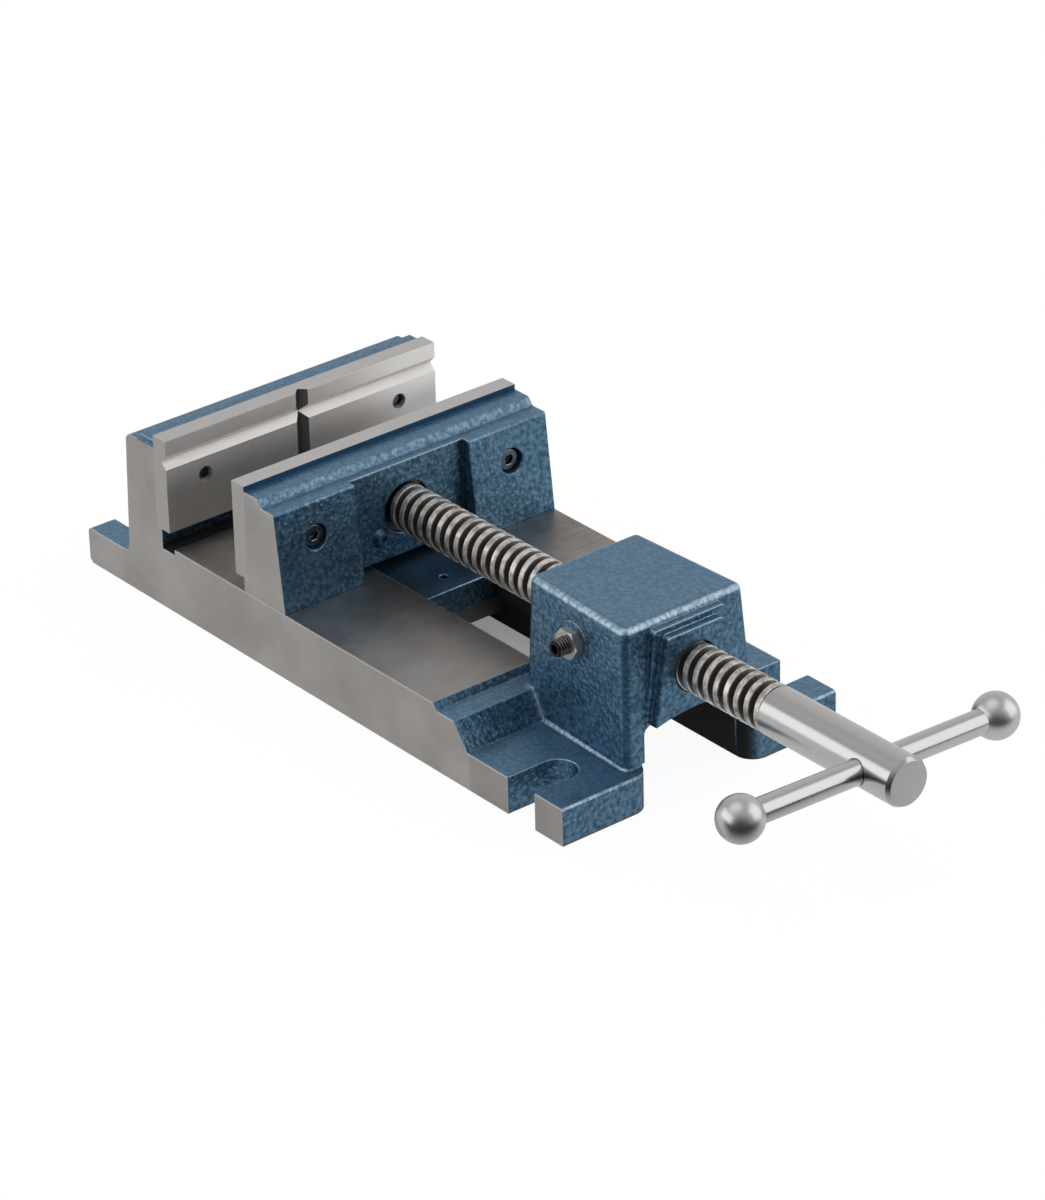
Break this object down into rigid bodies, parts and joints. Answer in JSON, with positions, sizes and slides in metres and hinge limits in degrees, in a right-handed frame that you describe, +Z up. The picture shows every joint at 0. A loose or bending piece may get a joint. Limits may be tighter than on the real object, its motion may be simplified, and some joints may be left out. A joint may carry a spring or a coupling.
{
  "type": "drill press vise",
  "caption": "Drill press vise: a slotted cast base with a fixed jaw, and a sliding jaw driven by a trapezoidal screw with a sliding cross handle.",
  "frame": {"origin": "on the bench, straight below the middle of the fixed jaw's clamping face", "axes": "+Z up from the bench, +Y along the screw from the handle towards the fixed jaw, +X across the jaws to the right as seen from the handle"},
  "size_m": [0.1578, 0.4649, 0.0853],
  "materials": {
    "painted_iron": "blue hammered enamel on grey cast iron, ways and sides machined bare",
    "ground_steel": "surface ground, satin",
    "plain_steel": "plain machined steel",
    "bright_steel": "bright turned steel",
    "black_steel": "black oxide",
    "painted_screw": "painted over with the casting's blue enamel",
    "bronze": "turned bronze"
  },
  "bodies": {
    "base": {"base_casting": "painted_iron", "fixed_jaw_plate": "ground_steel", "fixed_plate_screws": "black_steel", "spindle_bush": "bronze", "bush_set_screw": "black_steel", "set_screw_nut": "bright_steel"},
    "jaw": {"moving_jaw": "painted_iron", "moving_jaw_plate": "ground_steel", "moving_plate_screws": "black_steel", "keeper_plate": "plain_steel", "keeper_washers": "plain_steel", "keeper_spring_washers": "plain_steel", "keeper_screws": "black_steel", "thrust_washer": "plain_steel", "spindle_fork": "plain_steel", "spindle_fork_screws": "painted_screw"},
    "screw": {"spindle": "bright_steel"},
    "handle": {"handle_bar": "bright_steel", "handle_ball_left": "bright_steel", "handle_ball_right": "bright_steel"}
  },
  "joints": [
    {"name": "jaw_slide", "type": "slide", "parent": "base", "child": "jaw", "axis": [0, 1, 0], "range_m": [-0.1028, 0.0495]},
    {"name": "screw_turn", "type": "hinge", "parent": "jaw", "child": "screw", "pos_m": [0, -0.3, 0.0563], "axis": [0, 1, 0], "range_deg": [-5828.03, 2806.3]},
    {"name": "handle_slide", "type": "slide", "parent": "screw", "child": "handle", "axis": [0.9992, 0, -0.0401], "range_m": [-0.0459, 0.0503]}
  ],
  "couplings": [
    {"joint": "jaw_slide", "follows": "screw_turn", "m_per_rad": 0.0010106}
  ]
}
